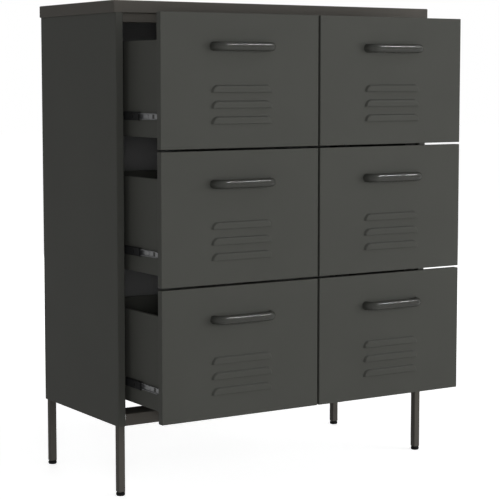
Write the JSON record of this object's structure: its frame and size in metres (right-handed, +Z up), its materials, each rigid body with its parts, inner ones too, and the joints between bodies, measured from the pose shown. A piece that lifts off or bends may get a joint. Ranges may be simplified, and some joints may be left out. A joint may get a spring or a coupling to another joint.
{
  "type": "locker-style chest of drawers",
  "caption": "Tall sheet-steel chest of wide drawers in two columns, with bow handles, pressed louvres, ball-bearing runners and thin square legs on levelling feet.",
  "frame": {"origin": "on the floor, under the centre of the box that holds the chest with its drawers drawn out 146 mm, as stored", "axes": "+Z up, drawer fronts face -Y, +X to the viewer's right when facing the drawers"},
  "size_m": [0.8, 0.5224, 1.015],
  "materials": {
    "powder_coat": "anthracite fine-texture powder coat, low sheen",
    "inner_coat": "the same coat inside the body, matt and in shade",
    "handle_lacquer": "smooth satin-gloss anthracite lacquer",
    "zinc_steel": "bright zinc-plated rolled steel",
    "dark_steel": "black-passivated rolled steel with a film of grease",
    "black_plastic": "moulded black polyethylene",
    "fasteners": "zinc-plated screws, rivets and nuts"
  },
  "bodies": {
    "cabinet": {"top_cap": "powder_coat", "left_side_panel": "powder_coat", "right_side_panel": "powder_coat", "back_panel": "powder_coat", "centre_divider": "inner_coat", "top_front_rail": "inner_coat", "bottom_front_rail": "powder_coat", "bottom_back_rail": "inner_coat", "side_uprights": "inner_coat", "cabinet_runners": "zinc_steel", "carcass_fasteners": "fasteners", "legs": "powder_coat", "leg_plates": "zinc_steel", "leg_nuts": "fasteners"},
    "foot_front_left": {"foot_front_left": "black_plastic"},
    "foot_front_right": {"foot_front_right": "black_plastic"},
    "foot_back_left": {"foot_back_left": "black_plastic"},
    "foot_back_right": {"foot_back_right": "black_plastic"},
    "bottom_left_drawer": {"bottom_left_front": "powder_coat", "bottom_left_box": "powder_coat", "bottom_left_handle": "handle_lacquer", "bottom_left_screws": "fasteners", "bottom_left_drawer_runners": "zinc_steel"},
    "bottom_left_middle_runner": {"bottom_left_middle_runners": "dark_steel", "bottom_left_ball_cages": "black_plastic"},
    "bottom_right_drawer": {"bottom_right_front": "powder_coat", "bottom_right_box": "powder_coat", "bottom_right_handle": "handle_lacquer", "bottom_right_screws": "fasteners", "bottom_right_drawer_runners": "zinc_steel"},
    "bottom_right_middle_runner": {"bottom_right_middle_runners": "dark_steel", "bottom_right_ball_cages": "black_plastic"},
    "middle_left_drawer": {"middle_left_front": "powder_coat", "middle_left_box": "powder_coat", "middle_left_handle": "handle_lacquer", "middle_left_screws": "fasteners", "middle_left_drawer_runners": "zinc_steel"},
    "middle_left_middle_runner": {"middle_left_middle_runners": "dark_steel", "middle_left_ball_cages": "black_plastic"},
    "middle_right_drawer": {"middle_right_front": "powder_coat", "middle_right_box": "powder_coat", "middle_right_handle": "handle_lacquer", "middle_right_screws": "fasteners", "middle_right_drawer_runners": "zinc_steel"},
    "middle_right_middle_runner": {"middle_right_middle_runners": "dark_steel", "middle_right_ball_cages": "black_plastic"},
    "top_left_drawer": {"top_left_front": "powder_coat", "top_left_box": "powder_coat", "top_left_handle": "handle_lacquer", "top_left_screws": "fasteners", "top_left_drawer_runners": "zinc_steel"},
    "top_left_middle_runner": {"top_left_middle_runners": "dark_steel", "top_left_ball_cages": "black_plastic"},
    "top_right_drawer": {"top_right_front": "powder_coat", "top_right_box": "powder_coat", "top_right_handle": "handle_lacquer", "top_right_screws": "fasteners", "top_right_drawer_runners": "zinc_steel"},
    "top_right_middle_runner": {"top_right_middle_runners": "dark_steel", "top_right_ball_cages": "black_plastic"}
  },
  "joints": [
    {"name": "foot_front_left_turn", "type": "hinge", "parent": "cabinet", "child": "foot_front_left", "pos_m": [-0.3855, -0.07475, 0], "axis": [0, 0, 1], "continuous": true},
    {"name": "foot_front_right_turn", "type": "hinge", "parent": "cabinet", "child": "foot_front_right", "pos_m": [0.3855, -0.07475, 0], "axis": [0, 0, 1], "continuous": true},
    {"name": "foot_back_left_turn", "type": "hinge", "parent": "cabinet", "child": "foot_back_left", "pos_m": [-0.3855, 0.25075, 0], "axis": [0, 0, 1], "continuous": true},
    {"name": "foot_back_right_turn", "type": "hinge", "parent": "cabinet", "child": "foot_back_right", "pos_m": [0.3855, 0.25075, 0], "axis": [0, 0, 1], "continuous": true},
    {"name": "bottom_left_drawer_slide", "type": "slide", "parent": "cabinet", "child": "bottom_left_drawer", "axis": [0, -1, 0], "range_m": [-0.146, 0.154]},
    {"name": "bottom_left_middle_runner_slide", "type": "slide", "parent": "cabinet", "child": "bottom_left_middle_runner", "axis": [0, -1, 0], "range_m": [-0.073, 0.077]},
    {"name": "bottom_right_drawer_slide", "type": "slide", "parent": "cabinet", "child": "bottom_right_drawer", "axis": [0, -1, 0], "range_m": [-0.146, 0.154]},
    {"name": "bottom_right_middle_runner_slide", "type": "slide", "parent": "cabinet", "child": "bottom_right_middle_runner", "axis": [0, -1, 0], "range_m": [-0.073, 0.077]},
    {"name": "middle_left_drawer_slide", "type": "slide", "parent": "cabinet", "child": "middle_left_drawer", "axis": [0, -1, 0], "range_m": [-0.146, 0.154]},
    {"name": "middle_left_middle_runner_slide", "type": "slide", "parent": "cabinet", "child": "middle_left_middle_runner", "axis": [0, -1, 0], "range_m": [-0.073, 0.077]},
    {"name": "middle_right_drawer_slide", "type": "slide", "parent": "cabinet", "child": "middle_right_drawer", "axis": [0, -1, 0], "range_m": [-0.146, 0.154]},
    {"name": "middle_right_middle_runner_slide", "type": "slide", "parent": "cabinet", "child": "middle_right_middle_runner", "axis": [0, -1, 0], "range_m": [-0.073, 0.077]},
    {"name": "top_left_drawer_slide", "type": "slide", "parent": "cabinet", "child": "top_left_drawer", "axis": [0, -1, 0], "range_m": [-0.146, 0.154]},
    {"name": "top_left_middle_runner_slide", "type": "slide", "parent": "cabinet", "child": "top_left_middle_runner", "axis": [0, -1, 0], "range_m": [-0.073, 0.077]},
    {"name": "top_right_drawer_slide", "type": "slide", "parent": "cabinet", "child": "top_right_drawer", "axis": [0, -1, 0], "range_m": [-0.146, 0.154]},
    {"name": "top_right_middle_runner_slide", "type": "slide", "parent": "cabinet", "child": "top_right_middle_runner", "axis": [0, -1, 0], "range_m": [-0.073, 0.077]}
  ],
  "couplings": [
    {"joint": "bottom_left_middle_runner_slide", "follows": "bottom_left_drawer_slide", "ratio": 0.5},
    {"joint": "bottom_right_middle_runner_slide", "follows": "bottom_right_drawer_slide", "ratio": 0.5},
    {"joint": "middle_left_middle_runner_slide", "follows": "middle_left_drawer_slide", "ratio": 0.5},
    {"joint": "middle_right_middle_runner_slide", "follows": "middle_right_drawer_slide", "ratio": 0.5},
    {"joint": "top_left_middle_runner_slide", "follows": "top_left_drawer_slide", "ratio": 0.5},
    {"joint": "top_right_middle_runner_slide", "follows": "top_right_drawer_slide", "ratio": 0.5}
  ]
}
